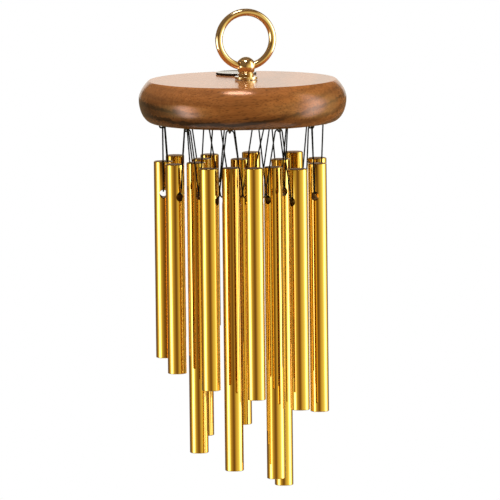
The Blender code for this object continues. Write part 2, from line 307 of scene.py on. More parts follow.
# %% Metal wear group
HAIR_SHARE = 0.45
SMUDGE_SHARE = 0.55
NOISE_LOW = 0.35
NOISE_HIGH = 0.65


def metal_wear_group():
    """Hairlines stretched by a scale for each axis, and soft smudges, as roughness, height and tone."""
    tree = bpy.data.node_groups.new("metal_wear", "ShaderNodeTree")
    sockets(tree, "INPUT", {"Vector": "Vector", "Hairline scale": "Vector"})
    sockets(tree, "INPUT", dict.fromkeys(("Smudge scale", "Low", "High"), "Float"))
    sockets(tree, "OUTPUT", dict.fromkeys(("Roughness", "Height", "Tone"), "Float"))
    sizes = tree.nodes.new("NodeGroupInput").outputs
    hair = noise(tree, stretched(tree, sizes["Vector"], sizes["Hairline scale"]), 3.0)
    smudge = noise(tree, sizes["Vector"], 4.0, 0.6, sizes["Smudge scale"])
    both = maths(tree, "MULTIPLY_ADD", hair, HAIR_SHARE, maths(tree, "MULTIPLY", smudge, SMUDGE_SHARE))
    limits = {"From Min": NOISE_LOW, "From Max": NOISE_HIGH, "To Min": sizes["Low"], "To Max": sizes["High"]}
    rough = made(tree, "ShaderNodeMapRange", {"Value": both, **limits})
    add(tree, "NodeGroupOutput", {"Roughness": rough, "Height": hair, "Tone": smudge})
    return tree


METAL_WEAR = metal_wear_group()
print("metal wear group:", len(METAL_WEAR.nodes), "nodes")

# %% Metal finish
BUMP_DEPTH = 0.0002
COAT_ROUGHNESS = 0.04
COAT_IOR = 1.7
CUT_ROUGHNESS = 0.45


def metal(name, colour, shade, hairline, smudge, low, high, bump, coat=0.0, cut=None):
    """A metal finish: two tones by the smudges, roughness from low to high, a fine bump, and a coat."""
    look, tree, shader = new_material(name)
    place = add(tree, "ShaderNodeTexCoord").outputs["Object"]
    values = {"Vector": place, "Hairline scale": hairline, "Smudge scale": smudge, "Low": low, "High": high}
    wear = add(tree, "ShaderNodeGroup", values, node_tree=METAL_WEAR).outputs
    tone = mixed(tree, wear["Tone"], (*shade, 1.0), (*colour, 1.0))
    rough = wear["Roughness"]
    bumps = {"Strength": bump, "Distance": BUMP_DEPTH, "Height": wear["Height"]}
    relief = made(tree, "ShaderNodeBump", bumps)
    fill(tree, shader, {"Coat Weight": coat, "Coat Roughness": COAT_ROUGHNESS, "Coat IOR": COAT_IOR})
    # Marked faces take the cut colour, more roughness and no coat. The bars' darker cut colour is partly
    # painted shade.
    if cut:
        marked_faces = add(tree, "ShaderNodeAttribute", attribute_name="cut_face").outputs["Fac"]
        tone = mixed(tree, marked_faces, tone, (*cut, 1.0))
        rough = maths(tree, "MULTIPLY_ADD", marked_faces, CUT_ROUGHNESS, rough)
        film = maths(tree, "MULTIPLY", maths(tree, "SUBTRACT", 1.0, marked_faces), coat)
        fill(tree, shader, {"Coat Weight": film})
    fill(tree, shader, {"Base Color": tone, "Metallic": 1.0, "Roughness": rough, "Normal": relief})
    print("metal", name, "with", len(tree.nodes), "nodes")
    return look


# %% Metals
DRAWN = (2600.0, 2600.0, 14.0)
POLISHED = (700.0, 700.0, 700.0)
# Cut and drilled faces of the bars: a darker gold, partly painted shade from the disc above.
SAWN_AND_SHADED_GOLD = (0.34, 0.17, 0.03)
# A dark colour for the badge's side faces.
DARK_BADGE_SIDE = (0.05, 0.032, 0.022)
gold = metal(
    "gold_anodised",
    colour=(0.66, 0.40, 0.026),
    shade=(0.64, 0.38, 0.021),
    hairline=DRAWN,
    smudge=60.0,
    low=0.045,
    high=0.06,
    bump=0.0005,
    coat=1.0,
    cut=SAWN_AND_SHADED_GOLD,
)
brass = metal(
    "lacquered_brass",
    colour=(0.79, 0.59, 0.35),
    shade=(0.75, 0.55, 0.30),
    hairline=POLISHED,
    smudge=110.0,
    low=0.13,
    high=0.16,
    bump=0.001,
    coat=0.7,
)
nickel = metal(
    "plain_nickel",
    colour=(0.66, 0.64, 0.60),
    shade=(0.58, 0.56, 0.52),
    hairline=POLISHED,
    smudge=150.0,
    low=0.16,
    high=0.30,
    bump=0.06,
    cut=DARK_BADGE_SIDE,
)
wire_steel = metal(
    "blued_staple",
    colour=(0.040, 0.034, 0.024),
    shade=(0.022, 0.019, 0.014),
    hairline=POLISHED,
    smudge=400.0,
    low=0.38,
    high=0.55,
    bump=0.10,
)
zinc = metal(
    "zinc_plate",
    colour=(0.56, 0.55, 0.50),
    shade=(0.42, 0.41, 0.37),
    hairline=POLISHED,
    smudge=300.0,
    low=0.26,
    high=0.42,
    bump=0.10,
)

# %% [markdown]
# The wood is a solid texture, as in a real turned block: the grain runs through the disc along X, so the
# front shows long fibres and pores. Its layers arch upwards to the ends. They darken into a band low on the
# rim, which climbs on the left and fades on the right. The upper rim is darker at the two ends: partly end
# grain, which soaks up more lacquer, and partly painted shade, where less light reaches the ends.

# %% Lacquered walnut
ARCH = 2.4
ARCH_X = -0.018
LAYER = 0.0052
LAYER_EDGE = (-0.2, 1.0)
BEND = 0.0030
BEND_SCALE = (12.0, 24.0, 30.0)
FRAY = 0.0050
FRAY_SCALE = (40.0, 420.0, 520.0)
BAND_DEPTH = -0.0510
BAND_REACH = 0.0055
BAND_SPREAD = 0.0078
SPREAD_FROM = (-0.012, -0.050)
BAND_BELOW = (-0.0090, -0.0020)
FADE_FROM = (0.0, 0.035)
BAND_FADE = 0.60
END_FACING = (0.40, 0.80)
END_TILT = -0.08
END_HEIGHT = (-0.0465, -0.0405)
END_SHADE = 0.34
FIBRE_SCALE = (34.0, 900.0, 900.0)
FIBRE_EDGE = (0.30, 0.70)
PORE_SCALE = (320.0, 1500.0, 1500.0)
PORE_EDGE = (0.44, 0.16)
LIGHT_WOOD = (0.38, 0.140, 0.040, 1.0)
MIDDLE_WOOD = (0.29, 0.099, 0.027, 1.0)
DARK_WOOD = (0.042, 0.019, 0.008, 1.0)
FIBRE_GLOW = 0.17
GLOSS = 0.32
PORE_BUMP = 0.008


def walnut_material():
    """Walnut under clear lacquer: arched layers that darken downwards, end grain with painted shade, fibres
    and pores.
    """
    look, tree, shader = new_material("lacquered_walnut")
    where = add(tree, "ShaderNodeTexCoord").outputs
    place = add(tree, "ShaderNodeSeparateXYZ", {0: where["Object"]}).outputs
    facing = add(tree, "ShaderNodeSeparateXYZ", {0: where["Normal"]}).outputs
    off_arch = maths(tree, "SUBTRACT", place["X"], ARCH_X)
    height = maths(tree, "MULTIPLY_ADD", maths(tree, "MULTIPLY", off_arch, off_arch), -ARCH, place["Z"])
    grain = made(tree, "ShaderNodeCombineXYZ", {"X": place["X"], "Y": place["Y"], "Z": height})

    def ramp(value, low, high):
        """A soft step from 0 at one value to 1 at the other."""
        limits = {"Value": value, "From Min": low, "From Max": high}
        return made(tree, "ShaderNodeMapRange", limits, interpolation_type="SMOOTHSTEP")

    wander = noise(tree, stretched(tree, grain, BEND_SCALE), 3.0, 0.55)
    bend = maths(tree, "MULTIPLY_ADD", wander, BEND, -BEND / 2)
    rag = noise(tree, stretched(tree, grain, FRAY_SCALE), 4.0, 0.65)
    fray = maths(tree, "MULTIPLY_ADD", rag, FRAY, -FRAY / 2)
    depth = maths(tree, "ADD", height, maths(tree, "ADD", bend, fray))
    layer = ramp(maths(tree, "SINE", maths(tree, "MULTIPLY", depth, math.tau / LAYER)), *LAYER_EDGE)
    over = maths(tree, "SUBTRACT", depth, BAND_DEPTH)
    reach = maths(tree, "MULTIPLY_ADD", ramp(place["X"], *SPREAD_FROM), BAND_SPREAD, BAND_REACH)
    above = ramp(over, reach, 0.0)
    below = maths(tree, "MULTIPLY_ADD", ramp(over, *BAND_BELOW), 0.15, 0.85)
    right = ramp(place["X"], *FADE_FROM)
    fade = maths(tree, "MULTIPLY_ADD", right, -BAND_FADE, 1.0)
    band = maths(tree, "MULTIPLY", maths(tree, "MULTIPLY", above, below), fade)
    # The upper rim darkens at both ends: partly end grain, partly painted shade where less light reaches
    # them.
    ends = ramp(maths(tree, "ABSOLUTE", facing["X"]), *END_FACING)
    upper = ramp(maths(tree, "MULTIPLY_ADD", place["X"], END_TILT, place["Z"]), *END_HEIGHT)
    end_grain_and_shade = maths(tree, "MULTIPLY", ends, upper)
    fibre = ramp(noise(tree, stretched(tree, grain, FIBRE_SCALE), 4.0, 0.6), *FIBRE_EDGE)
    cells = {"Vector": stretched(tree, grain, PORE_SCALE), "Scale": 1.0, "Randomness": 1.0}
    pores = ramp(add(tree, "ShaderNodeTexVoronoi", cells).outputs["Distance"], *PORE_EDGE)

    streaked = maths(tree, "MULTIPLY", band, maths(tree, "MULTIPLY_ADD", layer, 0.22, 0.68))
    stripes = maths(tree, "MULTIPLY", layer, maths(tree, "MULTIPLY_ADD", right, 0.10, 0.14))
    shade = maths(tree, "ADD", streaked, maths(tree, "MULTIPLY_ADD", end_grain_and_shade, END_SHADE, stripes))
    layered = mixed(tree, shade, mixed(tree, fibre, MIDDLE_WOOD, LIGHT_WOOD), DARK_WOOD)
    speck = maths(tree, "MULTIPLY", pores, maths(tree, "MULTIPLY_ADD", band, 0.40, 0.48))
    colour = mixed(tree, speck, layered, DARK_WOOD)
    rough = maths(tree, "MULTIPLY_ADD", pores, 0.05, 0.15)
    dip = maths(tree, "SUBTRACT", 1.0, pores)
    relief = made(tree, "ShaderNodeBump", {"Strength": PORE_BUMP, "Distance": BUMP_DEPTH, "Height": dip})
    fill(tree, shader, {"Base Color": colour, "Roughness": rough, "Normal": relief})
    fill(tree, shader, {"Metallic": FIBRE_GLOW, "Specular IOR Level": GLOSS})
    return look


walnut = walnut_material()
print("walnut:", len(walnut.node_tree.nodes), "nodes")

# %% Black cord
RUB_SCALE = 900.0
CORD_BLACK = (0.003, 0.003, 0.003, 1.0)
CORD_RUBBED = (0.014, 0.012, 0.011, 1.0)
FUZZ = 0.3
FUZZ_DEPTH = 0.0001


def cord_material():
    """Near black cord with a soft sheen, a little greyer where the strands are rubbed."""
    look, tree, shader = new_material("black_cord")
    rubbed = noise(tree, add(tree, "ShaderNodeTexCoord").outputs["Object"], 3.0, scale=RUB_SCALE)
    tint = mixed(tree, rubbed, CORD_BLACK, CORD_RUBBED)
    relief = made(tree, "ShaderNodeBump", {"Strength": FUZZ, "Distance": FUZZ_DEPTH, "Height": rubbed})
    fill(tree, shader, {"Base Color": tint, "Normal": relief, "Roughness": 0.65, "Specular IOR Level": 0.15})
    return look


black_cord = cord_material()
print("cord finish:", len(black_cord.node_tree.nodes), "nodes")

# %% [markdown]
# ## Cords
# Each bar hangs on a V of thin black cord. It runs along the underside from a staple, down one leg, through
# the cross hole of the bar, and up the other leg to the next staple. The route has the CAD's corners, rounded
# more, since cord never bends sharply. A twisted cord is three strands that wind round that route: Geometry
# Nodes lay each strand along the path, so the twist follows every bend.

# %% Places of the bars
BAR_NUMBERS = range(1, 18)
OUTER_BARS = range(1, 12)
INNER_BARS = range(12, 18)


def heading(joint):
    """The angle of a joint's axis, seen from above."""
    along = joints[joint]["axis"]
    return math.atan2(along[1], along[0])


def placed(number):
    """The matrices of a cord and a bar: X along the swing axis, Z up, at the points of their joints."""
    swing = f"cord_swing_{number:02d}"
    turn = Matrix.Rotation(heading(swing), 4, "Z")
    places = (joints[swing]["pos_m"], joints[f"bar_rock_{number:02d}"]["pos_m"])
    return [Matrix.Translation(place) @ turn for place in places]


def half_gap(number, step):
    """Half the angle from a bar to the next one round its ring, or with a step of -1 to the one before."""
    bars = OUTER_BARS if number in OUTER_BARS else INNER_BARS
    neighbour = bars[(number - bars[0] + step) % len(bars)]
    turn = heading(f"cord_swing_{neighbour:02d}") - heading(f"cord_swing_{number:02d}")
    return turn * step % math.tau / 2


print("bars:", len(OUTER_BARS), "on the outer ring and", len(INNER_BARS), "on the inner one")

# %% Cord routes
OUTER_RADIUS = 0.0402
INNER_RADIUS = 0.0232
BAR_RADIUS = 0.00476
CORD_RADIUS = 0.00036
CORD_RUN = 0.0019
CORD_END_GAP = 0.00045
CORD_FOOT = BAR_RADIUS + CORD_RADIUS + 0.0003
CORD_BENDS = (0.0014, 0.0011, 0.0011, 0.0014)
BEND_STEPS = 8


def cord_route(number):
    """The points of one cord in the chime's own frame."""
    cord_place, bar_place = placed(number)
    radius = OUTER_RADIUS if number in OUTER_BARS else INNER_RADIUS
    behind, ahead = [radius * math.tan(half_gap(number, step)) for step in (-1, 1)]
    drop = cord_place.translation.z - bar_place.translation.z
    bends = [
        (behind - CORD_END_GAP, 0.0),
        (behind - CORD_RUN, 0.0),
        (CORD_FOOT, -drop),
        (-CORD_FOOT, -drop),
        (CORD_RUN - ahead, 0.0),
        (CORD_END_GAP - ahead, 0.0),
    ]
    corners = [Vector((x, 0, z)) for x, z in bends]
    points = [corners[0]]
    for before, corner, after, bend in zip(corners, corners[1:], corners[2:], CORD_BENDS):
        start = corner + (before - corner).normalized() * bend
        end = corner + (after - corner).normalized() * bend
        for step in range(BEND_STEPS + 1):
            t = step / BEND_STEPS
            points.append((1 - t) ** 2 * start + 2 * t * (1 - t) * corner + t**2 * end)
    points.append(corners[-1])
    return [cord_place @ point for point in points]


routes = {number: cord_route(number) for number in BAR_NUMBERS}

# %% Twisted cord tree
STRANDS = 3
STRAND_SIDES = 6
LAY_SHARE = 2 / math.sqrt(3)
STRAND_RADIUS = CORD_RADIUS / (1 + LAY_SHARE)
STRAND_SWELL = 1.25
TWIST_PITCH = 0.0020
TWIST_STEP = TWIST_PITCH / 11


def twisted_cord_tree():
    """Strands that wind round a path at a pitch."""
    tree, sizes = geometry_tree("twisted_cord", "Strand radius", "Lay radius", "Pitch", "Step")
    curve = made(tree, "GeometryNodeMeshToCurve", {"Mesh": sizes["Geometry"]})
    even = made(tree, "GeometryNodeResampleCurve", {"Curve": curve, "Length": sizes["Step"]}, mode="LENGTH")
    along = add(tree, "GeometryNodeSplineParameter").outputs["Length"]
    turns = maths(tree, "MULTIPLY", maths(tree, "DIVIDE", along, sizes["Pitch"]), math.tau)
    normal = made(tree, "GeometryNodeInputNormal")
    tangent = made(tree, "GeometryNodeInputTangent")
    circle = {"Resolution": STRAND_SIDES, "Radius": sizes["Strand radius"]}
    section = made(tree, "GeometryNodeCurvePrimitiveCircle", circle)
    cord = add(tree, "GeometryNodeJoinGeometry")
    for strand in range(STRANDS):
        angle = maths(tree, "ADD", turns, math.tau * strand / STRANDS)
        out = made(tree, "ShaderNodeVectorRotate", {"Vector": normal, "Axis": tangent, "Angle": angle})
        shift = made(tree, VECTOR_MATH, {0: out, "Scale": sizes["Lay radius"]}, operation="SCALE")
        wound = made(tree, "GeometryNodeSetPosition", {"Geometry": even, "Offset": shift})
        swept = {"Curve": wound, "Profile Curve": section, "Fill Caps": True}
        tree.links.new(made(tree, "GeometryNodeCurveToMesh", swept), cord.inputs[0])
    end_tree(tree, cord.outputs[0], sizes["Material"])
    return tree


twisted_cord = twisted_cord_tree()

# %% Cords
cord_sizes = {
    "Strand radius": STRAND_RADIUS * STRAND_SWELL,
    "Lay radius": STRAND_RADIUS * LAY_SHARE,
    "Pitch": TWIST_PITCH,
    "Step": TWIST_STEP,
    "Material": black_cord,
}
for number, route in routes.items():
    node = f"cord_{number:02d}"
    base = bpy.data.meshes.new(f"route_{number:02d}")
    base.from_pydata(route, [(i, i + 1) for i in range(len(route) - 1)], [])
    mesh = grown(f"twisted_{node}", twisted_cord, cord_sizes, base)
    mesh.shade_smooth()
    cord = piece(f"twisted_{node}", mesh, None, node, "cord", node)

# %% [markdown]
# ## Bars
# The bars are solid round rods, cut to graded lengths, with eased ends and a cross hole for the cord. They
# all follow one rule, so one Geometry Nodes tree makes every bar from its length: a circle swept down a line
# whose radius shrinks at both ends, less a cross hole with a countersink at each mouth. The faces that a saw
# or a drill left are marked for the finish.

# %% Bar tree
BAR_EASE = 0.00035
EASE_STEPS = 4
BAR_SIDES = 96
HOLE_RADIUS = 0.00205
HOLE_SIDES = 48
HOLE_BELOW_TOP = 0.0164
COUNTERSINK = 0.00035
CUT_SHARE = 0.93


def rod_mesh(tree, sizes):
    """The plain rod: a circle swept down a line of points, drawn in at both ends along a quarter round."""
    count = 2 * (EASE_STEPS + 1)
    line = made(tree, "GeometryNodeCurvePrimitiveLine", {"End": (0, 0, -1)})
    points = made(tree, "GeometryNodeResampleCurve", {"Curve": line, "Count": count})
    index = made(tree, "GeometryNodeInputIndex")
    from_end = maths(tree, "MINIMUM", index, maths(tree, "SUBTRACT", count - 1, index))
    angle = maths(tree, "MULTIPLY", from_end, math.pi / 2 / EASE_STEPS)
    drawn_in = maths(tree, "SUBTRACT", 1.0, maths(tree, "SINE", angle))
    pull = maths(tree, "MULTIPLY", sizes["Ease"], drawn_in)
    set_back = maths(tree, "SUBTRACT", 1.0, maths(tree, "COSINE", angle))
    depth = maths(tree, "MULTIPLY", sizes["Ease"], set_back)
    low = maths(tree, "GREATER_THAN", index, EASE_STEPS + 0.5)
    rise = maths(tree, "SUBTRACT", maths(tree, "MULTIPLY", depth, 2.0), sizes["Length"])
    spot = upright(tree, maths(tree, "SUBTRACT", maths(tree, "MULTIPLY", low, rise), depth))
    axis = made(tree, "GeometryNodeSetPosition", {"Geometry": points, "Position": spot})
    width = maths(tree, "SUBTRACT", sizes["Radius"], pull)
    circle = made(tree, "GeometryNodeCurvePrimitiveCircle", {"Resolution": BAR_SIDES, "Radius": 1.0})
    swept = {"Curve": axis, "Profile Curve": circle, "Scale": width, "Fill Caps": True}
    return made(tree, "GeometryNodeCurveToMesh", swept)


def hole_cutters(tree, sizes):
    """A long cylinder and a cone for each mouth, along Z."""
    deep = maths(tree, "MULTIPLY", sizes["Radius"], 4.0)
    cylinder = {"Vertices": HOLE_SIDES, "Radius": sizes["Hole radius"], "Depth": deep}
    hole = made(tree, "GeometryNodeMeshCylinder", cylinder)
    sink = sizes["Countersink"]
    cone = {
        "Vertices": HOLE_SIDES,
        "Radius Top": maths(tree, "MULTIPLY_ADD", sink, 2.0, sizes["Hole radius"]),
        "Radius Bottom": maths(tree, "SUBTRACT", sizes["Hole radius"], sink),
        "Depth": maths(tree, "MULTIPLY", sink, 3.0),
    }
    mouth = made(tree, "GeometryNodeMeshCone", cone)
    start = upright(tree, maths(tree, "SUBTRACT", sizes["Radius"], maths(tree, "MULTIPLY", sink, 2.0)))
    near = made(tree, "GeometryNodeTransform", {"Geometry": mouth, "Translation": start})
    far = made(tree, "GeometryNodeTransform", {"Geometry": near, "Rotation": (math.pi, 0, 0)})
    return hole, near, far


def bar_tree():
    """One bar, its top at the origin and its length down Z, with the cross hole along X."""
    tree, sizes = geometry_tree(
        "graded_bar", "Length", "Radius", "Ease", "Hole radius", "Hole below top", "Countersink"
    )
    cut = {"Mesh 1": rod_mesh(tree, sizes)}
    cross = add(tree, "GeometryNodeMeshBoolean", cut, operation="DIFFERENCE", solver="EXACT")
    laid = {
        "Rotation": (0, math.pi / 2, 0),
        "Translation": upright(tree, maths(tree, "MULTIPLY", sizes["Hole below top"], -1.0)),
    }
    for cutter in hole_cutters(tree, sizes):
        across = made(tree, "GeometryNodeTransform", {"Geometry": cutter, **laid})
        tree.links.new(across, cross.inputs["Mesh 2"])
    welded = made(tree, "GeometryNodeMergeByDistance", {"Geometry": cross.outputs[0], "Distance": WELD})
    # Faces near the axis, at the cut ends and in the drilled hole, are marked; the finish gives them a darker
    # colour, partly painted shade.
    level = stretched(tree, made(tree, "GeometryNodeInputPosition"), (1, 1, 0))
    off_axis = add(tree, VECTOR_MATH, {0: level}, operation="LENGTH").outputs["Value"]
    inside = maths(tree, "LESS_THAN", off_axis, maths(tree, "MULTIPLY", sizes["Radius"], CUT_SHARE))
    marks = {"Geometry": welded, "Name": "cut_face", "Value": inside}
    marked = made(tree, "GeometryNodeStoreNamedAttribute", marks, data_type="FLOAT", domain="FACE")
    end_tree(tree, marked, sizes["Material"])
    return tree


graded_bar = bar_tree()

# %% Bars
BAR_FLAT = 2e-5
for number in BAR_NUMBERS:
    name = f"bar_{number:02d}"
    low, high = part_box(name)
    sizes = {
        "Length": high.z - low.z,
        "Radius": BAR_RADIUS,
        "Ease": BAR_EASE,
        "Hole radius": HOLE_RADIUS,
        "Hole below top": HOLE_BELOW_TOP,
        "Countersink": COUNTERSINK,
        "Material": gold,
    }
    mesh = grown(f"gold_{name}", graded_bar, sizes)
    place = placed(number)[1]
    place.translation.z = high.z
    mesh.transform(place)
    crisp(mesh, BAR_FLAT)
    piece(f"gold_{name}", mesh, None, name, "bar", name)

# %% [markdown]
# ## Staples
# A wire staple holds the cord to the underside midway between each two bars. They repeat round the two rings,
# so one tree puts the same bent wire on every anchor point. All of them ride on the disc, so they are one
# piece.

# %% Staple tree
STAPLE_WIRE = 0.00045
STAPLE_SIDES = 14
STAPLE_PLAY = 0.0001
STAPLE_HALF_SPAN = 0.0015
STAPLE_LEG = 0.0080
STAPLE_BEND = 0.0009
STAPLE_BEND_STEPS = 6


def staple_tree():
    """Bent wire staples on points, each turned by the point's own angle."""
    tree, sizes = geometry_tree("wire_staples", "Half span", "Leg", "Crown", "Bend", "Wire")
    line = made(tree, "GeometryNodeCurvePrimitiveLine", {"End": (1, 0, 0)})
    points = made(tree, "GeometryNodeResampleCurve", {"Curve": line, "Count": 4})
    from_middle = maths(tree, "SUBTRACT", made(tree, "GeometryNodeInputIndex"), 1.5)
    across = maths(tree, "MULTIPLY", maths(tree, "SIGN", from_middle), sizes["Half span"])
    outer = maths(tree, "GREATER_THAN", maths(tree, "ABSOLUTE", from_middle), 1.0)
    reach = maths(tree, "SUBTRACT", sizes["Leg"], sizes["Crown"])
    height = maths(tree, "MULTIPLY_ADD", outer, reach, sizes["Crown"])
    spot = made(tree, "ShaderNodeCombineXYZ", {"X": across, "Z": height})
    bent = made(tree, "GeometryNodeSetPosition", {"Geometry": points, "Position": spot})
    corners = {"Curve": bent, "Radius": sizes["Bend"], "Count": STAPLE_BEND_STEPS}
    eased = made(tree, "GeometryNodeFilletCurve", corners, mode="POLY")
    circle = {"Resolution": STAPLE_SIDES, "Radius": sizes["Wire"]}
    section = made(tree, "GeometryNodeCurvePrimitiveCircle", circle)
    swept = {"Curve": eased, "Profile Curve": section, "Fill Caps": True}
    wire = made(tree, "GeometryNodeCurveToMesh", swept)
    angle = made(tree, "GeometryNodeInputNamedAttribute", {"Name": "turn"}, data_type="FLOAT")
    spots = made(tree, "GeometryNodeMeshToPoints", {"Mesh": sizes["Geometry"]})
    set_out = {"Points": spots, "Instance": wire, "Rotation": upright(tree, angle)}
    end_tree(tree, made(tree, "GeometryNodeInstanceOnPoints", set_out), sizes["Material"])
    return tree


wire_staples = staple_tree()

# %% Staples
def above_middle(low, high, height):
    """The point at a height over the middle of a box."""
    return Vector(((low.x + high.x) / 2, (low.y + high.y) / 2, height))


staple_names = [f"staple_{number:02d}" for number in BAR_NUMBERS]
cord_height = joints["cord_swing_01"]["pos_m"][2]
anchors = [above_middle(*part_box(name), cord_height) for name in staple_names]
turns = [heading(f"cord_swing_{n:02d}") + math.pi / 2 + half_gap(n, 1) for n in BAR_NUMBERS]
base = bpy.data.meshes.new("staple_anchors")
base.from_pydata(anchors, [], [])
base.attributes.new("turn", "FLOAT", "POINT").data.foreach_set("value", turns)
staple_sizes = {
    "Half span": STAPLE_HALF_SPAN,
    "Leg": STAPLE_LEG - CORD_RADIUS - STAPLE_PLAY,
    "Crown": -CORD_RADIUS - STAPLE_PLAY - STAPLE_WIRE,
    "Bend": STAPLE_BEND,
    "Wire": STAPLE_WIRE,
    "Material": wire_steel,
}
mesh = grown("wire_staples", wire_staples, staple_sizes, base)
mesh.shade_smooth()
piece("wire_staples", mesh, None, "head", "staple", *staple_names)

# %% [markdown]
# ## Wood disc
# The disc was turned on a lathe: a flat top with a crisp edge, a rim that swells to a belly, and a round
# underside. An outline with many fine steps, spun round the axis, gives a smooth gloss. The hole for the stud
# and the recess for the nut are drilled from below, a little off the centre, where the post stands.

# %% Wood disc
DISC_SIDES = 256
RIM_STEPS = 28
TOP_RADIUS = 0.0478
BELLY_RADIUS = 0.0529
BOTTOM_RADIUS = 0.0456
THICKNESS = 0.0214
BELLY_DEPTH = 0.0097
TOP_EDGE = 0.0004
DISC_FLAT = 1e-4


def disc_outline():
    """The disc's outline from the middle of the top round the rim to the middle of the underside."""
    outline = [(0.0, 0.0), (TOP_RADIUS - 2.2 * TOP_EDGE, 0.0)]
    outline += arc((TOP_RADIUS - 0.6 * TOP_EDGE, -TOP_EDGE), TOP_EDGE, 90, 45, 4)
    for step in range(1, RIM_STEPS + 1):
        t = step / RIM_STEPS
        outline.append((BELLY_RADIUS - (BELLY_RADIUS - TOP_RADIUS) * (1 - t) ** 2, -BELLY_DEPTH * t))
    for step in range(1, RIM_STEPS + 1):
        angle = math.pi / 2 * step / RIM_STEPS
        radius = BOTTOM_RADIUS + (BELLY_RADIUS - BOTTOM_RADIUS) * math.cos(angle)
        outline.append((radius, -BELLY_DEPTH - (THICKNESS - BELLY_DEPTH) * math.sin(angle)))
    return outline + [(0.0, -THICKNESS)]


# %% Stud hole and recess
STUD_HOLE_RADIUS = 0.0029
RECESS_RADIUS = 0.0070
RECESS_DEPTH = 0.0070
RECESS_EASE = 0.0004
RECESS_FLARE = 0.0006
PAST_TOP = 0.001
PAST_BOTTOM = 0.0002
BORE_SIDES = 72

disc_low, disc_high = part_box("wood_disc")
disc_centre = above_middle(disc_low, disc_high, disc_high.z)
stud_x = joints["head_swing"]["pos_m"][0] - disc_centre.x
recess_floor = RECESS_DEPTH - THICKNESS
bore = turned(
    "stud_bore",
    [
        (0.0, PAST_TOP),
        (STUD_HOLE_RADIUS, PAST_TOP),
        (STUD_HOLE_RADIUS, recess_floor),
        (RECESS_RADIUS, recess_floor),
        (RECESS_RADIUS, -THICKNESS + RECESS_EASE),
        (RECESS_RADIUS + RECESS_FLARE, -THICKNESS - PAST_BOTTOM),
        (0.0, -THICKNESS - PAST_BOTTOM),
    ],
    BORE_SIDES,
)
bore.transform(Matrix.Translation((stud_x, 0, 0)))
mesh = drilled(turned("walnut_disc", disc_outline(), DISC_SIDES), bore)
mesh.transform(Matrix.Translation(disc_centre))
crisp(mesh, DISC_FLAT)
piece("walnut_disc", mesh, walnut, "head", "wood_disc", "wood_disc")

# %% [markdown]
# ## Ring and post
# The finger ring is round wire, bent into a circle and passed through the ball of the post. The post is
# turned from bar: a ball, a rounded collar close under it, a narrower foot, and a flange that clamps on the
# wood, with a stud below. A torus and one outline make them, and a cross bore with eased mouths lets the ring
# swing.

# %% Ring
RING_MEAN = 0.0139
RING_WIRE = 0.00188
RING_STEPS = 160
WIRE_STEPS = 40


def ring_mesh():
    """The ring, upright in the XZ plane about its own centre."""
    bm = bmesh.new()
    for step in range(RING_STEPS):
        turn = math.tau * step / RING_STEPS
        for side in range(WIRE_STEPS):
            angle = math.tau * side / WIRE_STEPS
            radius = RING_MEAN + RING_WIRE * math.cos(angle)
            bm.verts.new((radius * math.cos(turn), RING_WIRE * math.sin(angle), radius * math.sin(turn)))
    bm.verts.ensure_lookup_table()
    for step in range(RING_STEPS):
        for side in range(WIRE_STEPS):
            a, b = step * WIRE_STEPS, (step + 1) % RING_STEPS * WIRE_STEPS
            c = (side + 1) % WIRE_STEPS
            bm.faces.new([bm.verts[i] for i in (a + side, a + c, b + c, b + side)])
    mesh = as_mesh("finger_ring", bm)
    mesh.shade_smooth()
    return mesh


ring_turn = Matrix.Rotation(heading("head_swing"), 4, "Z")
mesh = ring_mesh()
mesh.transform(Matrix.Translation((0, 0, RING_WIRE - RING_MEAN)) @ ring_turn)
piece("finger_ring", mesh, brass, "ring", "hanging_ring", "hanging_ring")

# %% Post
POST_SIDES = 128
BALL_RADIUS = 0.0049
NECK_RADIUS = 0.0040
COLLAR_RADIUS = 0.0043
COLLAR_ROUND = 0.0013
COLLAR_HEIGHT = 0.0023
FOOT_RADIUS = 0.0039
FLANGE_RADIUS = 0.0058
FLANGE_TOP = 0.0016
FLANGE_EDGE = 0.00015
STUD_RADIUS = 0.0025
STUD_SHORT = 0.0008
STUD_EASE = 0.0004
SEAT_GAP = 0.0003
bore_place = Vector(joints["head_swing"]["pos_m"])
wood = disc_high.z - bore_place.z


def post_outline():
    """The post's outline from the top of the ball to the end of the stud, heights from the bore."""
    neck = 180 - math.degrees(math.asin(NECK_RADIUS / BALL_RADIUS))
    outline = [(0.0, BALL_RADIUS)] + arc((0, 0), BALL_RADIUS, 88, 90 - neck, 44)
    outline += arc((COLLAR_RADIUS - COLLAR_ROUND, wood + COLLAR_HEIGHT), COLLAR_ROUND, 65, 18, 12)
    outline.append((FOOT_RADIUS, wood + FLANGE_TOP))
    outline += arc((FLANGE_RADIUS - FLANGE_EDGE, wood + FLANGE_TOP - FLANGE_EDGE), FLANGE_EDGE, 90, 0, 6)
    outline += [(FLANGE_RADIUS, wood + SEAT_GAP), (STUD_RADIUS, wood + SEAT_GAP)]
    stud_end = wood - THICKNESS + STUD_SHORT
    return outline + [
        (STUD_RADIUS, stud_end + STUD_EASE),
        (STUD_RADIUS - STUD_EASE, stud_end),
        (0.0, stud_end),
    ]


# %% Cross bore of the post
BORE_RADIUS = 0.0027
BORE_HALF = 0.0036
MOUTH_HALF = 0.0042
MOUTH_EASE = 0.0004
FLARE_HALF = 0.0060
FLARE = 0.0011
POST_FLAT = 1e-5

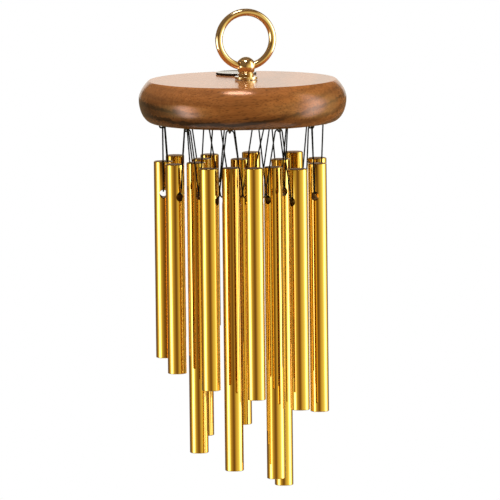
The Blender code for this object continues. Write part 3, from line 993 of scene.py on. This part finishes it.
half_bore = [
    (0.0, FLARE_HALF),
    (BORE_RADIUS + FLARE, FLARE_HALF),
    (BORE_RADIUS + MOUTH_EASE, MOUTH_HALF),
    (BORE_RADIUS, BORE_HALF),
]
other_half = [(radius, -height) for radius, height in reversed(half_bore)]
cutter = turned("ball_bore", half_bore + other_half, BORE_SIDES)
cutter.transform(ring_turn @ Matrix.Rotation(math.pi / 2, 4, "Y"))
mesh = drilled(turned("ball_post", post_outline(), POST_SIDES), cutter)
mesh.transform(Matrix.Translation(bore_place))
crisp(mesh, POST_FLAT)
piece("ball_post", mesh, brass, "head", "ring_post", "ring_post")

# %% [markdown]
# ## Badge, washer and nut
# A thin round badge lies on the top behind the post. It is left plain, with a low rim. Under the disc, a
# washer and a hexagon nut hold the stud in the recess: the nut's corners are turned off at both faces, as on
# any bought nut.

# %% Badge
BADGE_RADIUS = 0.0104
BADGE_THICKNESS = 0.0009
BADGE_SIDES = 128
BADGE_DIP = 0.00012
BADGE_RIM = 0.0009
BADGE_SLOPE = 0.0002
BADGE_EASE = 0.00025
BADGE_FLAT = 1e-4
EDGE_FACING = 0.5
low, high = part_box("badge")
outline = [
    (0.0, BADGE_THICKNESS - BADGE_DIP),
    (BADGE_RADIUS - BADGE_RIM - BADGE_SLOPE, BADGE_THICKNESS - BADGE_DIP),
    (BADGE_RADIUS - BADGE_RIM, BADGE_THICKNESS),
    *arc((BADGE_RADIUS - BADGE_EASE, BADGE_THICKNESS - BADGE_EASE), BADGE_EASE, 90, 0, 5),
    (BADGE_RADIUS, 0.0),
    (0.0, 0.0),
]
mesh = turned("plain_badge", outline, BADGE_SIDES)
mesh.transform(Matrix.Translation(above_middle(low, high, low.z)))
# The faces that face sideways, the badge's side, are marked for the dark side colour.
edge = [float(face.normal.z < EDGE_FACING) for face in mesh.polygons]
mesh.attributes.new("cut_face", "FLOAT", "FACE").data.foreach_set("value", edge)
crisp(mesh, BADGE_FLAT)
piece("plain_badge", mesh, nickel, "head", "badge", "badge")

# %% Washer
WASHER_RADIUS = 0.0060
WASHER_SIDES = 96
WASHER_EASE = 0.00015
STUD_CLEAR = 0.0028
HOLE_PAST = 0.001
TOOL_SIDES = 64
SMALL_FLAT = 1e-5
low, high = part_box("post_washer")
outline = [
    (0.0, high.z),
    (WASHER_RADIUS - WASHER_EASE, high.z),
    (WASHER_RADIUS, high.z - WASHER_EASE),
    (WASHER_RADIUS, low.z + WASHER_EASE),
    (WASHER_RADIUS - WASHER_EASE, low.z),
    (0.0, low.z),
]
hole = plug("washer_hole", STUD_CLEAR, high.z + HOLE_PAST, low.z - HOLE_PAST, TOOL_SIDES)
mesh = drilled(turned("plain_washer", outline, WASHER_SIDES), hole)
on_stud = Matrix.Translation(((low.x + high.x) / 2, 0, 0))
mesh.transform(on_stud)
crisp(mesh, SMALL_FLAT)
piece("plain_washer", mesh, zinc, "head", "post_washer", "post_washer")

# %% Nut
NUT_FLATS = 0.0080
NUT_SIDES = 6
FACE_RADIUS = 0.00405
CHAMFER_OUT = 0.0012
CHAMFER_DOWN = 0.0007
SKIRT_RADIUS = 0.008
SKIRT_PAST = 0.002
low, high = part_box("post_nut")
blank = plug("hex_nut", NUT_FLATS / math.sqrt(3), high.z, low.z, NUT_SIDES)
skirt = plug("nut_corners", SKIRT_RADIUS, high.z + SKIRT_PAST, low.z - SKIRT_PAST, TOOL_SIDES)
outline = [
    (0.0, high.z + HOLE_PAST),
    (FACE_RADIUS, high.z),
    (FACE_RADIUS + CHAMFER_OUT, high.z - CHAMFER_DOWN),
    (FACE_RADIUS + CHAMFER_OUT, low.z + CHAMFER_DOWN),
    (FACE_RADIUS, low.z),
    (0.0, low.z - HOLE_PAST),
]
inside = turned("nut_cone", outline, TOOL_SIDES)
hole = plug("nut_hole", STUD_CLEAR, high.z + HOLE_PAST, low.z - HOLE_PAST, TOOL_SIDES)
mesh = drilled(blank, drilled(skirt, inside), hole)
mesh.transform(on_stud)
crisp(mesh, SMALL_FLAT)
piece("hex_nut", mesh, zinc, "head", "post_nut", "post_nut")

# %% [markdown]
# ## Studio
# Polished bars show the studio itself. Two curved sheets of soft light, one on each side of the camera, draw
# the two bright bands on every bar, and the dark between them comes from the dim, warm room. Their light is
# brightest at one azimuth and falls off to both sides, warmer where it is weaker, as light through cloth is.
# A warm backdrop, seen only in reflections, gives the pale gloss on the top of the wood, and a small lamp
# above gives the spark on the rim. A pale round floor lies well below, and the picture's ground is white to
# the camera.

# %% Scrims
AIM = Vector((0.0, 0.0, -0.13))
SCRIM_DISTANCE = 1.2
SCRIM_COLUMN = 3
SCRIM_ROWS = 16
SCRIM_GAIN = 1.1
LIGHT_TINTS = [(0.2, (1.0, 0.58, 0.22, 1.0)), (1.1, (1.0, 1.0, 0.45, 1.0)), (2.2, (1.0, 1.0, 1.0, 1.0))]


def level_at(stops, value):
    """The level between the two nearest stops."""
    for (a, low), (b, high) in zip(stops, stops[1:]):
        if value <= b:
            return low + (high - low) * max(0.0, value - a) / (b - a)
    return stops[-1][1]


def bare_material(name):
    """A new node material with no nodes yet."""
    look = bpy.data.materials.new(name)
    look.use_nodes = True
    look.node_tree.nodes.clear()
    return look, look.node_tree


def scrim_material(name):
    """Light by the sheet's own levels, in a colour that clears as the level rises."""
    look, tree = bare_material(name)
    level = add(tree, "ShaderNodeAttribute", attribute_name="level").outputs["Fac"]
    tint = LIGHT_TINTS[0][1]
    for (start, _), (end, colour) in zip(LIGHT_TINTS, LIGHT_TINTS[1:]):
        limits = {"Value": level, "From Min": start, "From Max": end}
        tint = mixed(tree, made(tree, "ShaderNodeMapRange", limits), tint, colour)
    strength = maths(tree, "MULTIPLY", level, SCRIM_GAIN)
    glow = made(tree, "ShaderNodeEmission", {"Color": tint, "Strength": strength})
    add(tree, "ShaderNodeOutputMaterial", {"Surface": glow})
    return look


def stage_piece(name, points, faces, material):
    """A sheet of the studio, which is no part of the chime."""
    mesh = bpy.data.meshes.new(name)
    mesh.from_pydata(points, [], faces)
    mesh.materials.append(material)
    obj = linked(name, mesh)
    return obj


def scrim(name, columns, rows):
    """A curved sheet of light, its level by azimuth from the camera and by height, in degrees."""
    first, last = columns[0][0], columns[-1][0]
    low, high = rows[0][0], rows[-1][0]
    count = round((last - first) / SCRIM_COLUMN)
    points, levels, faces = [], [], []
    for row in range(SCRIM_ROWS + 1):
        rise = low + (high - low) * row / SCRIM_ROWS
        for column in range(count + 1):
            azimuth = first + (last - first) * column / count
            turn = math.radians(azimuth)
            away = Vector((math.sin(turn), -math.cos(turn), math.tan(math.radians(rise))))
            points.append(AIM + SCRIM_DISTANCE * away)
            levels.append(level_at(columns, azimuth) * level_at(rows, rise))
    for row in range(SCRIM_ROWS):
        for column in range(count):
            corner = row * (count + 1) + column
            faces.append((corner, corner + 1, corner + count + 2, corner + count + 1))
    sheet = stage_piece(name, points, faces, scrim_material(name))
    sheet.data.attributes.new("level", "FLOAT", "POINT").data.foreach_set("value", levels)
    sheet.visible_camera = False
    print(name, "from", first, "to", last, "degrees, brightest", max(levels))


# %% Left and right scrims
LEFT_COLUMNS = [
    (-130, 0.1),
    (-115, 0.3),
    (-103, 0.45),
    (-92, 0.9),
    (-84, 1.4),
    (-77, 2.8),
    (-72, 6.2),
    (-64, 6.2),
    (-59, 3.4),
    (-53, 2.1),
    (-47, 1.2),
    (-42, 0.88),
    (-29, 0.58),
    (-16, 0.38),
    (-4, 0.22),
]
LEFT_ROWS = [(-36, 0.0), (-24, 1.0), (-3, 1.0), (12, 0.0)]
RIGHT_COLUMNS = [
    (2, 0.24),
    (12, 0.42),
    (25, 0.78),
    (38, 0.93),
    (51, 1.08),
    (63, 1.45),
    (71, 2.3),
    (79, 4.6),
    (87, 5.8),
    (94, 4.0),
    (102, 1.9),
    (112, 1.1),
    (124, 0.7),
    (134, 0.3),
    (140, 0.0),
]
RIGHT_ROWS = [(-40, 0.0), (-15, 1.0), (12, 1.0), (58, 0.0)]
scrim("left_scrim", LEFT_COLUMNS, LEFT_ROWS)
scrim("right_scrim", RIGHT_COLUMNS, RIGHT_ROWS)

# %% Top lamp
TOP_LEVEL = 16.0
LAMP_WIDTH = 0.42
LAMP_DEPTH = 0.20
LAMP_DISTANCE = 1.2
LAMP_RISE = math.radians(72)
LAMP_SIDE = -0.05
lamp = linked("top_lamp", bpy.data.lights.new("top_lamp", "AREA"))
lamp.data.shape = "ELLIPSE"
lamp.data.size = LAMP_WIDTH
lamp.data.size_y = LAMP_DEPTH
lamp.data.energy = TOP_LEVEL * math.pi**2 / 4 * lamp.data.size * lamp.data.size_y
lamp.location = AIM + LAMP_DISTANCE * Vector((LAMP_SIDE, -math.cos(LAMP_RISE), math.sin(LAMP_RISE)))
lamp.rotation_mode = "QUATERNION"
lamp.rotation_quaternion = (AIM - lamp.location).to_track_quat("-Z", "Y")
lamp.visible_camera = False
print("top lamp:", round(lamp.data.energy, 2), "W")

# %% World
WHITE = (1.0, 1.0, 1.0, 1.0)
ROOM_COLOUR = (1.0, 0.70, 0.38, 1.0)
ROOM_LEVEL = 0.21
FILL_LOW = 0.26
FILL_TOP = 4.1
FILL_FROM = (0.0, 0.42, 0.91)
FILL_POWER = 3.0

world = bpy.data.worlds.new("studio")
bpy.context.scene.world = world
world.use_nodes = True
tree = world.node_tree
path = add(tree, "ShaderNodeLightPath").outputs
room = made(tree, "ShaderNodeBackground", {"Color": ROOM_COLOUR, "Strength": ROOM_LEVEL})
ray = add(tree, "ShaderNodeTexCoord").outputs["Generated"]
towards = add(tree, VECTOR_MATH, {0: ray, 1: FILL_FROM}, operation="DOT_PRODUCT").outputs["Value"]
rise = maths(tree, "POWER", maths(tree, "MAXIMUM", towards, 0.0), FILL_POWER)
dome = maths(tree, "MULTIPLY_ADD", rise, FILL_TOP, FILL_LOW)
soft = made(tree, "ShaderNodeBackground", {"Color": WHITE, "Strength": dome})
white = made(tree, "ShaderNodeBackground", {"Color": WHITE, "Strength": 1.0})
lit = made(tree, "ShaderNodeMixShader", {0: path["Is Glossy Ray"], 1: soft, 2: room})
seen = made(tree, "ShaderNodeMixShader", {0: path["Is Camera Ray"], 1: lit, 2: white})
tree.links.new(seen, tree.nodes["World Output"].inputs["Surface"])
print("world:", len(tree.nodes), "nodes")

# %% Floor and backdrop
FLOOR_Z = -0.90
FLOOR_RADIUS = 0.55
FLOOR_SIDES = 96
FLOOR_GREY = 0.45
BACKDROP_Y = 2.6
BACKDROP_HALF_WIDTH = 1.0
BACKDROP_LOW = -0.2
BACKDROP_HIGH = 1.1
BACKDROP_TINT = (1.0, 0.96, 0.87, 1.0)


def ground_material(name, grey, glow, tint=WHITE):
    """A pale surface with a glow to the camera and in reflections, which still takes shadow."""
    look, tree = bare_material(name)
    path = add(tree, "ShaderNodeLightPath").outputs
    pale = made(tree, "ShaderNodeBsdfDiffuse", {"Color": (grey, grey, grey, 1.0)})
    bright = maths(tree, "MAXIMUM", path["Is Camera Ray"], path["Is Glossy Ray"])
    seen = maths(tree, "MAXIMUM", bright, path["Is Transmission Ray"])
    shine = made(tree, "ShaderNodeEmission", {"Color": tint, "Strength": maths(tree, "MULTIPLY", seen, glow)})
    both = made(tree, "ShaderNodeAddShader", {0: pale, 1: shine})
    add(tree, "ShaderNodeOutputMaterial", {"Surface": both})
    return look


angles = [math.tau * side / FLOOR_SIDES for side in range(FLOOR_SIDES)]
floor_edge = [(FLOOR_RADIUS * math.cos(a), FLOOR_RADIUS * math.sin(a), FLOOR_Z) for a in angles]
stage_piece("floor", floor_edge, [tuple(range(FLOOR_SIDES))], ground_material("pale_floor", FLOOR_GREY, 0.0))
backdrop_corners = [
    (-BACKDROP_HALF_WIDTH, BACKDROP_Y, BACKDROP_LOW),
    (BACKDROP_HALF_WIDTH, BACKDROP_Y, BACKDROP_LOW),
    (BACKDROP_HALF_WIDTH, BACKDROP_Y, BACKDROP_HIGH),
    (-BACKDROP_HALF_WIDTH, BACKDROP_Y, BACKDROP_HIGH),
]
backdrop_look = ground_material("white_backdrop", 0.0, 1.0, BACKDROP_TINT)
backdrop = stage_piece("backdrop", backdrop_corners, [(0, 1, 2, 3)], backdrop_look)
backdrop.visible_camera = False
bpy.context.scene.view_settings.view_transform = "Standard"
print("floor at", FLOOR_Z, "m, backdrop", BACKDROP_Y, "m behind")
